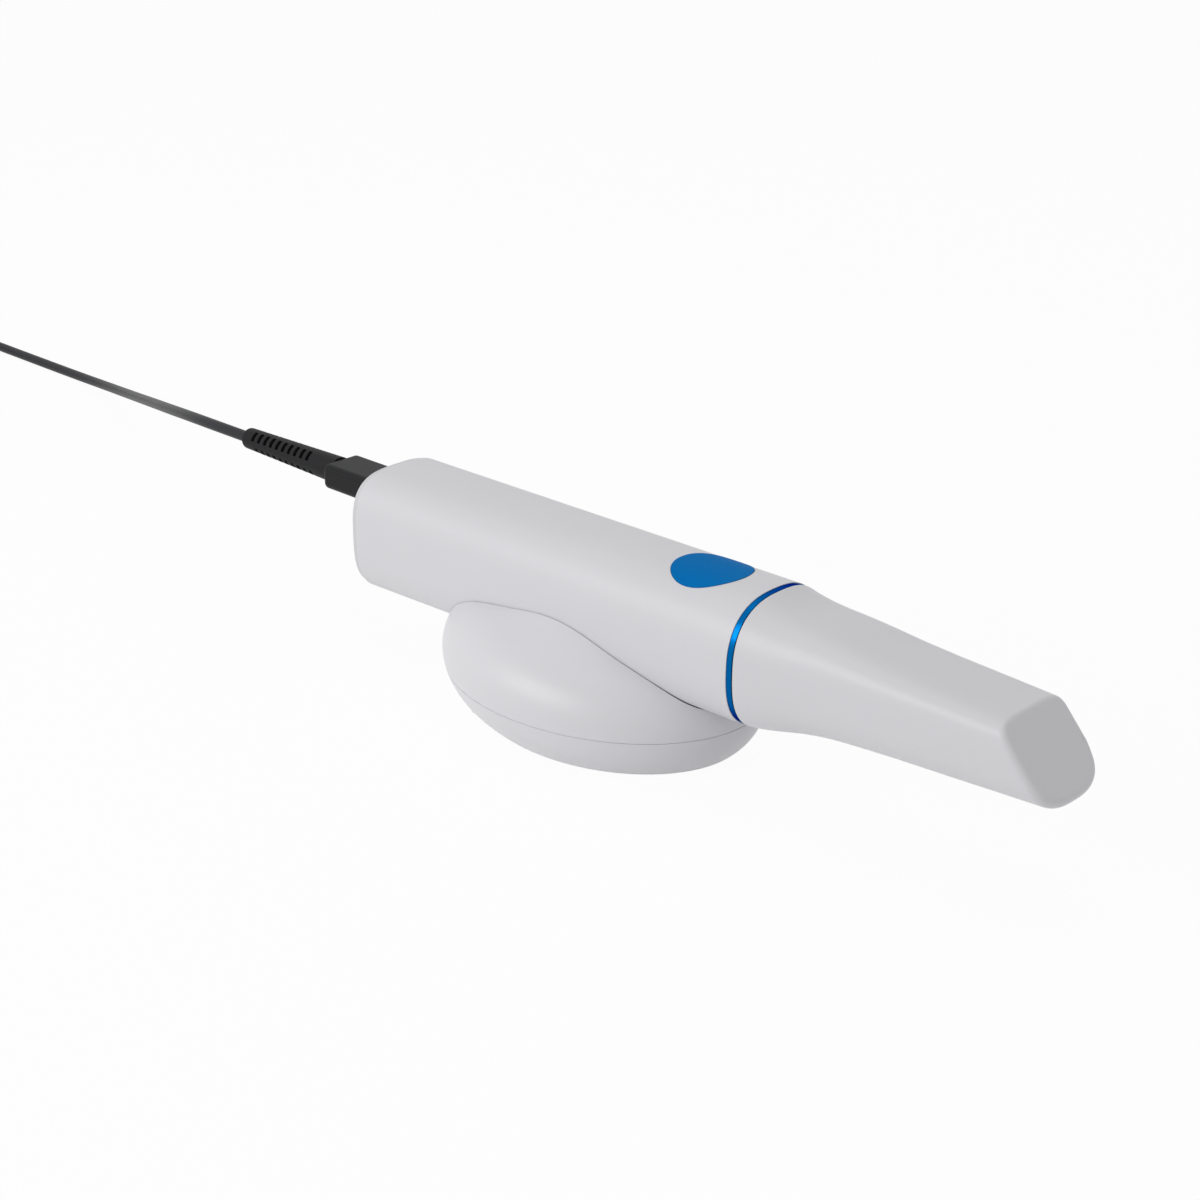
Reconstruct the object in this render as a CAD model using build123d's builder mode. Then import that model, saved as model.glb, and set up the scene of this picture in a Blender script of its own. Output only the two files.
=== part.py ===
"""Wired intraoral scanner lying in its desk cradle, with its data cable.

Millimetres. +X runs from the cable end to the tip, +Z is up, and z = 0 is the surface that the cradle
stands on. The origin is under the middle of the handset's length.
"""
import os
from math import cos, pi, radians, sin, tan

from build123d import *

# Handset lengths, from the rear face forward
CAP_THICKNESS = 3.0
HANDLE_LENGTH = 168.0
RING_WIDTH = 2.0
TIP_GAP = 0.4
TIP_LENGTH = 106.3
AXIS_HEIGHT = 43.5

# Handle sections: rounded squares that get rounder towards the ring
REAR_WIDTH = 42.8
REAR_HEIGHT = 43.4
REAR_POWER = 3.2
REAR_DROP = 2.0
RING_SECTION_WIDTH = 43.6
RING_SECTION_HEIGHT = 43.4
RING_POWER = 2.55
HANDLE_WALL = 2.4
HANDLE_REAR_ROUND = 0.4
SECTION_POINTS = 24
FIT = 0.1

# Rear cap and its port
CAP_INSET = 0.5
CAP_ROUND = 1.6
CAP_RIM_DEPTH = 5.0
CAP_RIM_WALL = 1.6

# Button
BUTTON_RADIUS = 12.85
BUTTON_TO_RING = 24.6
BUTTON_PROUD = 0.2
BUTTON_CLEARANCE = 0.15
BUTTON_TRAVEL = 0.6
BUTTON_LIP = 1.2
BUTTON_LIP_THICKNESS = 0.9
BUTTON_LIP_GAP = 0.3
BUTTON_STEM_RADIUS = 3.0

# Ring and nose
RING_RECESS = 0.25
RING_DEPTH = 2.2
NOSE_FLANGE = 8.0
NOSE_LENGTH = 58.0
NOSE_WALL = 2.0
NOSE_END_INSET = 3.6
NOSE_FRONT_WALL = 3.2
NOSE_ROUND = 1.5
NOSE_CLEARANCE = 0.5
SEAL_AT = 6.0
SEAL_WIDTH = 2.0
SEAL_DEPTH = 1.1
SEAL_CLEARANCE = 0.25
GLASS_WIDTH = 15.0
GLASS_HEIGHT = 17.0
GLASS_ROUND = 3.0
GLASS_THICKNESS = 1.5
GLASS_REBATE = 1.5

# Tip: width, height, corner power and rise of its centre at each distance from the ring
TIP_WALL = 1.8
TIP_BASE = (0.0, 43.0, 43.0, 2.58, 2.58, 0.0)
TIP_SHOULDER = (12.0, 40.4, 38.1, 2.9, 2.6, -0.3)
TIP_NECK = (25.0, 37.9, 33.9, 3.35, 2.64, 0.7)
TIP_MIDDLE = (46.0, 35.2, 29.7, 4.0, 2.7, 0.6)
TIP_SLIM = (74.0, 33.0, 26.3, 4.7, 2.75, 0.4)
TIP_END = (TIP_LENGTH + 10.0, 31.0, 21.7, 5.6, 2.8, 0.4)
TIP_SECTION_SPACING = 9.7
LEAN_PASSES = 4
END_ANGLE = 50.4
END_ROUND = 2.2
END_WALL = 3.0
END_BLOCK = 3.5
WINDOW_LENGTH = 16.0
WINDOW_WIDTH = 16.0
WINDOW_ROUND = 3.0
WINDOW_TO_END = 14.0
MIRROR_LENGTH = 17.0
MIRROR_WIDTH = 15.0
MIRROR_THICKNESS = 1.2
MIRROR_ROUND = 2.0

# Optical bench and the modules on it
BULKHEAD = 4.0
BENCH_CLEARANCE = 0.4
BENCH_WIDTH = 20.0
BENCH_THICKNESS = 2.8
BENCH_BELOW_AXIS = 14.6
BENCH_FROM_REAR = 11.0
MODULE_LENGTH = 24.0
MODULE_WIDTH = 18.0
MODULE_HEIGHT = 12.6
MODULE_GAP = 2.5
MODULE_ROUND = 0.8
LENS_TUBE_RADIUS = 5.5
LENS_TUBE_REACH = 16.0
LENS_RADIUS = 4.4
LENS_THICKNESS = 2.0
LENS_CROWN = 0.8
LENS_SAGITTA = 0.2
SENSOR_BOARD_WIDTH = 20.0
SENSOR_BOARD_HEIGHT = 14.0
BOARD_THICKNESS = 1.6
SINK_LENGTH = 14.0
SINK_BACK = 2.5
SINK_FINS = 5
SINK_FIN_THICKNESS = 1.2

# Main board, its socket and its screws
BOARD_WIDTH = 27.0
BOARD_FROM_REAR = 8.5
BOARD_TO_SINK = 26.5
POST_RADIUS = 2.6
POST_FROM_EDGE = 6.0
POST_SPACING_Y = 14.0
BOARD_SCREW_RADIUS = 1.0
BOARD_SCREW_DEPTH = 6.0
BOARD_SCREW_HEAD_RADIUS = 1.9
BOARD_SCREW_HEAD = 1.4
CAN_LENGTH = 26.0
CAN_WIDTH = 18.0
CAN_HEIGHT = 2.4
CAN_EDGE = 0.4
SWITCH_BOARD_LENGTH = 16.0
SWITCH_BOARD_WIDTH = 12.0
SWITCH_SIZE = 6.0
SWITCH_HEIGHT = 2.0
SWITCH_ROUND = 0.5
PLUNGER_RADIUS = 1.6
PLUNGER_PROUD = 0.8
PLUNGER_DEPTH = 0.7
PLUNGER_CLEARANCE = 0.05
SOCKET_WIDTH = 10.4
SOCKET_HEIGHT = 7.4
SOCKET_LENGTH = 9.0
SOCKET_FROM_REAR = 5.0
SOCKET_ROUND = 1.0

# Cable plug and strain relief
PORT_ABOVE_AXIS = 8.7
CONNECTOR_WIDTH = 16.6
CONNECTOR_HEIGHT = 9.2
CONNECTOR_ROUND = 2.4
CONNECTOR_LENGTH = 29.5
CONNECTOR_ENTRY = 1.5
CONNECTOR_REAR_ROUND = 1.8
PORT_CLEARANCE = 0.2
PLUG_WIDTH = 8.3
PLUG_HEIGHT = 2.6
PLUG_ROUND = 1.2
PLUG_REACH = 9.0
PLUG_CLEARANCE = 0.1
BOOT_LENGTH = 52.0
BOOT_REAR_RADIUS = 3.9
BOOT_FRONT_RADIUS = 5.0
BOOT_ROUND = 1.2
BOOT_SLOTS = 10
BOOT_SLOT_WIDTH = 1.7
BOOT_SLOT_DEPTH = 1.5
BOOT_SLOT_SPAN = 3.8
BOOT_SLOT_PITCH = 3.5
BOOT_SLOT_START = 6.9
BOOT_SLOT_TURNS = ((135, 0.0), (315, 0.0), (45, 0.5), (225, 0.5))

# Cord, its put-away coil and the plug at its far end
CORD_DIAMETER = 4.2
BEND_SHARE = 0.45
COIL_X = -575.0
COIL_Y = 56.5
COIL_COLUMNS = 5
COIL_LAYERS = 2
COIL_MEAN_RADIUS = 24.0
TIE_WIDTH = 6.0
TIE_THICKNESS = 0.8
TIE_CLEARANCE = 0.4
FAR_PLUG_WIDTH = 15.6
FAR_PLUG_HEIGHT = 7.6
FAR_PLUG_LENGTH = 30.0
FAR_PLUG_ROUND = 2.0
FAR_SHELL_WIDTH = 12.0
FAR_SHELL_HEIGHT = 4.5
FAR_SHELL_LENGTH = 12.0
FAR_SHELL_WALL = 0.4
FAR_TONGUE_THICKNESS = 1.8

# Cradle: an egg-shaped pebble, its rear end tipped up
CRADLE_X = -40.0
CRADLE_LENGTH = 119.0
CRADLE_WIDTH = 91.0
CRADLE_WAIST_BELOW_AXIS = 26.0
CRADLE_LOWER = 27.5
CRADLE_UPPER = 23.2
CRADLE_POWER = 2.2
CRADLE_LEVELS = (-0.95, -0.75, -0.4, 0.0, 0.35, 0.65, 0.85, 0.97)
CRADLE_TILT = 4.0
CRADLE_WALL = 3.0
SEAM_HEIGHT = 14.5
SEAM_GROOVE = 0.25
TROUGH_CLEARANCE = 0.35
PAD_THICKNESS = 1.4
PAD_PROUD = 0.6
PAD_MARGIN = 4.0
PAD_WIDTH = 8.0
BASE_FLOOR = 3.0
BOSS_RADIUS = 3.8
BOSS_SPACING_X = 58.0
BOSS_SPACING_Y = 54.0
SCREW_RADIUS = 1.5
SCREW_LENGTH = 18.0
SCREW_HEAD_RADIUS = 2.8
SCREW_HEAD = 2.0
WEIGHT_LENGTH = 46.0
WEIGHT_WIDTH = 36.0
WEIGHT_THICKNESS = 7.0
WEIGHT_ROUND = 7.0
WEIGHT_EDGE = 1.0

# Places that follow from the sizes
overall_length = CAP_THICKNESS + HANDLE_LENGTH + RING_WIDTH + TIP_GAP + TIP_LENGTH
rear_x = -overall_length / 2
handle_x = rear_x + CAP_THICKNESS
ring_x = handle_x + HANDLE_LENGTH
tip_x = ring_x + RING_WIDTH + TIP_GAP
end_x = tip_x + TIP_LENGTH
end_corner = TIP_LENGTH + END_ROUND * (1 / tan(radians(END_ANGLE / 2)) - 1)
slant_distance = end_corner - TIP_END[2] / 2 / tan(radians(END_ANGLE))
button_x = ring_x - BUTTON_TO_RING
port_z = AXIS_HEIGHT + PORT_ABOVE_AXIS
tip_stations = (TIP_BASE, TIP_SHOULDER, TIP_NECK, TIP_MIDDLE, TIP_SLIM, TIP_END)


def superellipse(width, height, powers, inset=0.0):
    """Points of a rounded-square outline with one power above its middle and one below, set in by inset."""
    points = []
    for i in range(SECTION_POINTS):
        c = cos(2 * pi * i / SECTION_POINTS)
        s = sin(2 * pi * i / SECTION_POINTS)
        power = powers[0] if s >= 0 else powers[1]
        y = (width / 2 - inset) * abs(c) ** (2 / power) * (1 if c >= 0 else -1)
        z = (height / 2 - inset) * abs(s) ** (2 / power) * (1 if s >= 0 else -1)
        points.append((y, z))
    return points


def section(x, width, height, powers, center_z, hole=0.0, lean=0.0):
    """Rounded-square face across X, leaning back by lean, with an inner outline set in by hole if given."""
    facing = (cos(lean), 0, sin(lean))
    with BuildSketch(Plane((x, 0, center_z), x_dir=(0, 1, 0), z_dir=facing)) as face:
        with BuildLine():
            Spline(*superellipse(width, height, powers), periodic=True)
        make_face()
        if hole > 0:
            with BuildLine():
                Spline(*superellipse(width, height, powers, hole), periodic=True)
            make_face(mode=Mode.SUBTRACT)
    return face.sketch


def handle_section(x, inset=0.0, hole=0.0):
    """Section of the handle at x, set in from the outside by inset."""
    share = (x - handle_x) / HANDLE_LENGTH
    width = REAR_WIDTH + share * (RING_SECTION_WIDTH - REAR_WIDTH) - 2 * inset
    height = REAR_HEIGHT + share * (RING_SECTION_HEIGHT - REAR_HEIGHT) - 2 * inset
    power = REAR_POWER + share * (RING_POWER - REAR_POWER)
    return section(x, width, height, (power, power), AXIS_HEIGHT - REAR_DROP * (1 - share), hole)


def station_slopes(i):
    """How fast the values at a station of the tip change along it."""
    before = tip_stations[max(i - 1, 0)]
    after = tip_stations[min(i + 1, len(tip_stations) - 1)]
    return [(q - p) / (after[0] - before[0]) for p, q in zip(before[1:], after[1:])]


def tip_values(distance):
    """Width, height, crown power, belly power and rise of the tip at a distance from its base."""
    i = max(k for k in range(len(tip_stations) - 1) if tip_stations[k][0] <= max(distance, 0))
    before = tip_stations[i]
    after = tip_stations[i + 1]
    span = after[0] - before[0]
    t = (distance - before[0]) / span
    values = []
    for p, q, m, n in zip(before[1:], after[1:], station_slopes(i), station_slopes(i + 1)):
        steady = p * (1 + 2 * t) * (1 - t) ** 2 + q * (3 - 2 * t) * t**2
        values.append(steady + span * t * (1 - t) * (m * (1 - t) - n * t))
    return values


def tip_top(distance):
    """Height of the tip's crown above the axis."""
    _, height, _, _, rise = tip_values(distance)
    return rise + height / 2


def tip_bottom(distance):
    """Height of the tip's belly above the axis, which is below zero."""
    _, height, _, _, rise = tip_values(distance)
    return rise - height / 2


def tip_section(distance, inset=0.0, hole=0.0):
    """Section of the tip, set in by inset; past the nose it leans more and more towards the slanted end."""
    width, height, crown, belly, rise = tip_values(distance)
    lean_share = max(0.0, (distance - NOSE_LENGTH) / (slant_distance - NOSE_LENGTH))
    lean = lean_share * radians(90 - END_ANGLE)
    above = height / 2
    below = height / 2
    for _ in range(LEAN_PASSES):
        above = (tip_top(distance - above * sin(lean)) - rise) / cos(lean)
        below = (rise - tip_bottom(distance + below * sin(lean))) / cos(lean)
    shift = (above - below) / 2
    return section(
        tip_x + distance - shift * sin(lean),
        width - 2 * inset,
        above + below - 2 * inset / cos(lean),
        (crown, belly),
        AXIS_HEIGHT + rise + shift * cos(lean),
        hole,
        lean,
    )


def tip_sections(length, inset, end_inset):
    """Evenly spaced sections of the tip's form, with an inset that changes steadily over the length."""
    steps = round(length / TIP_SECTION_SPACING)
    change = end_inset - inset
    return [tip_section(length * i / steps, inset + change * i / steps) for i in range(steps + 1)]


def handle_form(inset):
    """The handle's outer form, set in by inset."""
    with BuildPart() as form:
        loft(sections=[handle_section(handle_x, inset), handle_section(ring_x, inset)])
    return form.part


def rounded_box_face(x, width, height, radius, z, y=0.0):
    """Rounded rectangle across X at height z."""
    with BuildSketch(Plane((x, y, z), x_dir=(0, 1, 0), z_dir=(1, 0, 0))) as face:
        RectangleRounded(width, height, radius)
    return face.sketch


os.makedirs("parts", exist_ok=True)

# Handle sleeve, open at both ends, with the button's opening in its crown
with BuildPart() as handle_housing:
    add(handle_form(0.0))
    fillet(handle_housing.faces().sort_by(Axis.X)[0].edges(), HANDLE_REAR_ROUND)
    loft(
        sections=[handle_section(handle_x, HANDLE_WALL), handle_section(ring_x, HANDLE_WALL)],
        mode=Mode.SUBTRACT,
    )
    with BuildSketch(Plane.XY.offset(AXIS_HEIGHT)):
        with Locations((button_x, 0)):
            Circle(BUTTON_RADIUS + BUTTON_CLEARANCE)
    extrude(amount=RING_SECTION_HEIGHT, mode=Mode.SUBTRACT)
handle_housing.part.label = "handle_housing"
export_step(handle_housing.part, "parts/handle_housing.step")

# Rear cap: a plate set in from the sleeve, with a rim inside it and a port for the cable
with BuildPart() as rear_cap:
    extrude(handle_section(handle_x, CAP_INSET), amount=-CAP_THICKNESS)
    fillet(rear_cap.faces().sort_by(Axis.X)[0].edges(), CAP_ROUND)
    extrude(handle_section(handle_x, HANDLE_WALL + FIT, CAP_RIM_WALL), amount=CAP_RIM_DEPTH)
    extrude(
        rounded_box_face(
            rear_x,
            CONNECTOR_WIDTH + 2 * PORT_CLEARANCE,
            CONNECTOR_HEIGHT + 2 * PORT_CLEARANCE,
            CONNECTOR_ROUND + PORT_CLEARANCE,
            port_z,
        ),
        amount=CAP_THICKNESS,
        mode=Mode.SUBTRACT,
    )
rear_cap.part.label = "rear_cap"
export_step(rear_cap.part, "parts/rear_cap.step")

# Button: a piece of the handle's crown, with a lip that holds it in and a stem on the switch
module_top = AXIS_HEIGHT - BENCH_BELOW_AXIS + 2 * MODULE_HEIGHT + MODULE_GAP
switch_top = module_top + BOARD_THICKNESS + SWITCH_HEIGHT + PLUNGER_PROUD


def button_room():
    """Disc above the modules that the button's lip needs to itself."""
    with BuildSketch(Plane.XY.offset(module_top)) as room:
        with Locations((button_x, 0)):
            Circle(BUTTON_RADIUS + BUTTON_LIP + BENCH_CLEARANCE)
    return room.sketch


with BuildPart() as button_lip:
    with BuildSketch(Plane.XY.offset(AXIS_HEIGHT)):
        with Locations((button_x, 0)):
            Circle(BUTTON_RADIUS + BUTTON_LIP)
    extrude(amount=RING_SECTION_HEIGHT)
    add(handle_form(HANDLE_WALL + BUTTON_LIP_GAP), mode=Mode.INTERSECT)
    add(handle_form(HANDLE_WALL + BUTTON_LIP_GAP + BUTTON_LIP_THICKNESS), mode=Mode.SUBTRACT)
with BuildPart() as button:
    with BuildSketch(Plane.XY.offset(AXIS_HEIGHT)):
        with Locations((button_x, 0)):
            Circle(BUTTON_RADIUS)
    extrude(amount=RING_SECTION_HEIGHT)
    add(handle_form(-BUTTON_PROUD), mode=Mode.INTERSECT)
    add(handle_form(HANDLE_WALL + BUTTON_LIP_GAP + BUTTON_LIP_THICKNESS), mode=Mode.SUBTRACT)
    add(button_lip.part)
    with BuildSketch(Plane.XY.offset(switch_top)):
        with Locations((button_x, 0)):
            Circle(BUTTON_STEM_RADIUS)
    extrude(amount=AXIS_HEIGHT + RING_SECTION_HEIGHT / 2 - HANDLE_WALL - switch_top)
button.part.label = "button"
export_step(button.part, "parts/button.step")

# Trim ring between the handle and the tip
with BuildPart() as trim_ring:
    extrude(handle_section(ring_x, RING_RECESS, RING_DEPTH - RING_RECESS), amount=RING_WIDTH)
trim_ring.part.label = "trim_ring"
export_step(trim_ring.part, "parts/trim_ring.step")

# Tip: a tapering sleeve with a slanted flat end and soft edges, a window below and a mirror inside
end_face = tip_section(slant_distance).face()
end_plane = Plane(end_face.center(), x_dir=(0, 1, 0), z_dir=end_face.normal_at())
window_z = AXIS_HEIGHT + tip_bottom(TIP_LENGTH - WINDOW_TO_END)
with BuildPart() as tip_core:
    loft(sections=tip_sections(slant_distance, TIP_WALL, TIP_WALL))
    split(bisect_by=end_plane.offset(-END_WALL), keep=Keep.BOTTOM)
    split(bisect_by=Plane.YZ.offset(end_x - END_BLOCK), keep=Keep.BOTTOM)
with BuildPart() as tip_shell:
    loft(sections=tip_sections(slant_distance, 0.0, 0.0))
    fillet(tip_shell.faces().filter_by(GeomType.PLANE).sort_by(Axis.X)[-1].edges(), END_ROUND)
    add(tip_core.part, mode=Mode.SUBTRACT)
    with BuildSketch(Plane.XY.offset(window_z - TIP_WALL)):
        with Locations((end_x - WINDOW_TO_END, 0)):
            RectangleRounded(WINDOW_LENGTH, WINDOW_WIDTH, WINDOW_ROUND)
    extrude(amount=3 * TIP_WALL, mode=Mode.SUBTRACT)
tip_shell.part.label = "tip_shell"
export_step(tip_shell.part, "parts/tip_shell.step")

mirror_face = tip_core.part.faces().filter_by(GeomType.PLANE).sort_by(Axis.Z)[-1]
with BuildPart() as tip_mirror:
    with BuildSketch(Plane(mirror_face.center(), x_dir=(0, 1, 0), z_dir=end_plane.z_dir)):
        RectangleRounded(MIRROR_WIDTH, MIRROR_LENGTH, MIRROR_ROUND)
    extrude(amount=-MIRROR_THICKNESS)
tip_mirror.part.label = "tip_mirror"
export_step(tip_mirror.part, "parts/tip_mirror.step")

# Nose: a flange in the handle, a collar under the ring and a hollow snout that carries the tip
nose_inset = TIP_WALL + NOSE_CLEARANCE
nose_x = ring_x - NOSE_FLANGE
cavity_end = NOSE_LENGTH - NOSE_FRONT_WALL
seal_front = SEAL_AT + SEAL_WIDTH
with BuildPart() as nose:
    loft(sections=[handle_section(nose_x, HANDLE_WALL + FIT), handle_section(ring_x, HANDLE_WALL + FIT)])
    extrude(handle_section(ring_x, RING_DEPTH + FIT), amount=RING_WIDTH + TIP_GAP)
    loft(sections=tip_sections(NOSE_LENGTH, nose_inset, NOSE_END_INSET))
    fillet(nose.faces().filter_by(GeomType.PLANE).sort_by(Axis.X)[-1].edges(), NOSE_ROUND)
    loft(
        sections=[
            handle_section(nose_x, HANDLE_WALL + FIT + NOSE_WALL),
            tip_section(0.0, nose_inset + NOSE_WALL),
        ],
        mode=Mode.SUBTRACT,
    )
    loft(
        sections=tip_sections(cavity_end, nose_inset + NOSE_WALL, NOSE_END_INSET + NOSE_WALL),
        mode=Mode.SUBTRACT,
    )
    nose_front_x = tip_x + NOSE_LENGTH
    glass_z = nose.faces().filter_by(GeomType.PLANE).sort_by(Axis.X)[-1].center().Z
    extrude(
        rounded_box_face(
            nose_front_x,
            GLASS_WIDTH + 2 * FIT,
            GLASS_HEIGHT + 2 * FIT,
            GLASS_ROUND + FIT,
            glass_z,
        ),
        amount=-GLASS_THICKNESS,
        mode=Mode.SUBTRACT,
    )
    extrude(
        rounded_box_face(
            nose_front_x,
            GLASS_WIDTH - 2 * GLASS_REBATE,
            GLASS_HEIGHT - 2 * GLASS_REBATE,
            GLASS_ROUND,
            glass_z,
        ),
        amount=-2 * NOSE_FRONT_WALL,
        mode=Mode.SUBTRACT,
    )
    extrude(
        tip_section(seal_front + FIT, 0.0, TIP_WALL + SEAL_CLEARANCE + SEAL_DEPTH + FIT),
        amount=-SEAL_WIDTH - 2 * FIT,
        mode=Mode.SUBTRACT,
    )
    extrude(button_room(), amount=RING_SECTION_HEIGHT, mode=Mode.SUBTRACT)
nose.part.label = "nose"
export_step(nose.part, "parts/nose.step")

with BuildPart() as nose_seal:
    extrude(tip_section(seal_front, TIP_WALL + SEAL_CLEARANCE, SEAL_DEPTH), amount=-SEAL_WIDTH)
nose_seal.part.label = "nose_seal"
export_step(nose_seal.part, "parts/nose_seal.step")

with BuildPart() as nose_window:
    extrude(
        rounded_box_face(nose_front_x, GLASS_WIDTH, GLASS_HEIGHT, GLASS_ROUND, glass_z),
        amount=-GLASS_THICKNESS,
    )
nose_window.part.label = "nose_window"
export_step(nose_window.part, "parts/nose_window.step")

# Optical bench: a bulkhead behind the nose, a plate along the handle and four posts for the board
bulkhead_x = nose_x - BULKHEAD
module_rear_x = bulkhead_x - MODULE_LENGTH
bench_length = bulkhead_x - rear_x - BENCH_FROM_REAR
bench_top = AXIS_HEIGHT - BENCH_BELOW_AXIS
projector_z = bench_top + MODULE_HEIGHT / 2
camera_z = projector_z + MODULE_HEIGHT + MODULE_GAP
board_top = port_z - SOCKET_HEIGHT / 2
board_bottom = board_top - BOARD_THICKNESS
board_rear_x = rear_x + BOARD_FROM_REAR
board_length = module_rear_x - SINK_LENGTH - BOARD_TO_SINK - board_rear_x
board_x = board_rear_x + board_length / 2
post_spacing_x = board_length - 2 * POST_FROM_EDGE
with BuildPart() as optical_bench:
    extrude(handle_section(bulkhead_x, HANDLE_WALL + BENCH_CLEARANCE), amount=BULKHEAD)
    with Locations((bulkhead_x - bench_length / 2, 0, bench_top)):
        Box(bench_length, BENCH_WIDTH, BENCH_THICKNESS, align=(Align.CENTER, Align.CENTER, Align.MAX))
    with BuildSketch(Plane((bulkhead_x, 0, 0), x_dir=(0, 1, 0), z_dir=(1, 0, 0))):
        with Locations((0, projector_z), (0, camera_z)):
            Circle(LENS_TUBE_RADIUS + FIT)
    extrude(amount=BULKHEAD, mode=Mode.SUBTRACT)
    with BuildSketch(Plane.XY.offset(bench_top)):
        with Locations((board_x, 0)):
            with GridLocations(post_spacing_x, POST_SPACING_Y, 2, 2):
                Circle(POST_RADIUS)
    extrude(amount=board_bottom - bench_top)
    with BuildSketch(Plane.XY.offset(board_bottom)):
        with Locations((board_x, 0)):
            with GridLocations(post_spacing_x, POST_SPACING_Y, 2, 2):
                Circle(BOARD_SCREW_RADIUS + FIT)
    extrude(amount=-BOARD_SCREW_DEPTH - FIT, mode=Mode.SUBTRACT)
    extrude(button_room(), amount=RING_SECTION_HEIGHT, mode=Mode.SUBTRACT)
optical_bench.part.label = "optical_bench"
export_step(optical_bench.part, "parts/optical_bench.step")


def optical_module(center_z):
    """Block behind the bulkhead with a lens tube through it, bored for its front lens."""
    with BuildPart() as module:
        with Locations((bulkhead_x - MODULE_LENGTH / 2, 0, center_z)):
            Box(MODULE_LENGTH, MODULE_WIDTH, MODULE_HEIGHT)
        fillet(module.edges().filter_by(Axis.X), MODULE_ROUND)
        with BuildSketch(Plane((bulkhead_x, 0, center_z), x_dir=(0, 1, 0), z_dir=(1, 0, 0))):
            Circle(LENS_TUBE_RADIUS)
        extrude(amount=LENS_TUBE_REACH)
        front = module.faces().sort_by(Axis.X)[-1]
        with BuildSketch(Plane(front.center(), x_dir=(0, 1, 0), z_dir=(1, 0, 0))):
            Circle(LENS_RADIUS + FIT)
        extrude(amount=-LENS_THICKNESS, mode=Mode.SUBTRACT)
    return module


def front_lens(center_z):
    """Plano-convex lens in the mouth of a lens tube."""
    seat_x = bulkhead_x + LENS_TUBE_REACH - LENS_THICKNESS
    with BuildPart() as lens:
        with BuildSketch(Plane((seat_x, 0, center_z), x_dir=(1, 0, 0), z_dir=(0, -1, 0))):
            with BuildLine():
                Polyline(
                    (LENS_THICKNESS - LENS_CROWN, LENS_RADIUS),
                    (0, LENS_RADIUS),
                    (0, 0),
                    (LENS_THICKNESS, 0),
                )
                SagittaArc(
                    (LENS_THICKNESS, 0),
                    (LENS_THICKNESS - LENS_CROWN, LENS_RADIUS),
                    -LENS_SAGITTA,
                )
            make_face()
        revolve(axis=Axis((seat_x, 0, center_z), (1, 0, 0)))
    return lens


camera_module = optical_module(camera_z)
camera_module.part.label = "camera_module"
export_step(camera_module.part, "parts/camera_module.step")
camera_lens = front_lens(camera_z)
camera_lens.part.label = "camera_lens"
export_step(camera_lens.part, "parts/camera_lens.step")
projector_module = optical_module(projector_z)
projector_module.part.label = "projector_module"
export_step(projector_module.part, "parts/projector_module.step")
projector_lens = front_lens(projector_z)
projector_lens.part.label = "projector_lens"
export_step(projector_lens.part, "parts/projector_lens.step")

with BuildPart() as sensor_board:
    with Locations((module_rear_x - BOARD_THICKNESS / 2, 0, camera_z)):
        Box(BOARD_THICKNESS, SENSOR_BOARD_WIDTH, SENSOR_BOARD_HEIGHT)
    fillet(sensor_board.edges().filter_by(Axis.X), BOARD_THICKNESS)
sensor_board.part.label = "sensor_board"
export_step(sensor_board.part, "parts/sensor_board.step")

with BuildPart() as led_heat_sink:
    with Locations((module_rear_x - SINK_BACK / 2, 0, projector_z)):
        Box(SINK_BACK, MODULE_WIDTH, MODULE_HEIGHT)
    fin_pitch = (MODULE_WIDTH - SINK_FIN_THICKNESS) / (SINK_FINS - 1)
    with Locations((module_rear_x - SINK_LENGTH / 2, 0, projector_z)):
        with GridLocations(SINK_LENGTH, fin_pitch, 1, SINK_FINS):
            Box(SINK_LENGTH, SINK_FIN_THICKNESS, MODULE_HEIGHT)
led_heat_sink.part.label = "led_heat_sink"
export_step(led_heat_sink.part, "parts/led_heat_sink.step")

# Main board on the posts, with its shield can, screws and the cable's socket
with BuildPart() as main_board:
    with BuildSketch(Plane.XY.offset(board_bottom)):
        with Locations((board_x, 0)):
            RectangleRounded(board_length, BOARD_WIDTH, POST_RADIUS)
            with GridLocations(post_spacing_x, POST_SPACING_Y, 2, 2):
                Circle(BOARD_SCREW_RADIUS + FIT, mode=Mode.SUBTRACT)
    extrude(amount=BOARD_THICKNESS)
main_board.part.label = "main_board"
export_step(main_board.part, "parts/main_board.step")

with BuildPart() as processor_can:
    with Locations((board_x, 0, board_top + CAN_HEIGHT / 2)):
        Box(CAN_LENGTH, CAN_WIDTH, CAN_HEIGHT)
    chamfer(processor_can.faces().sort_by(Axis.Z)[-1].edges(), CAN_EDGE)
processor_can.part.label = "processor_can"
export_step(processor_can.part, "parts/processor_can.step")

with BuildPart() as board_screws:
    with BuildSketch(Plane.XY.offset(board_top)):
        with Locations((board_x, 0)):
            with GridLocations(post_spacing_x, POST_SPACING_Y, 2, 2):
                Circle(BOARD_SCREW_HEAD_RADIUS)
    extrude(amount=BOARD_SCREW_HEAD)
    with BuildSketch(Plane.XY.offset(board_top)):
        with Locations((board_x, 0)):
            with GridLocations(post_spacing_x, POST_SPACING_Y, 2, 2):
                Circle(BOARD_SCREW_RADIUS)
    extrude(amount=-BOARD_THICKNESS - BOARD_SCREW_DEPTH)
board_screws.part.label = "board_screws"
export_step(board_screws.part, "parts/board_screws.step")

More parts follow.
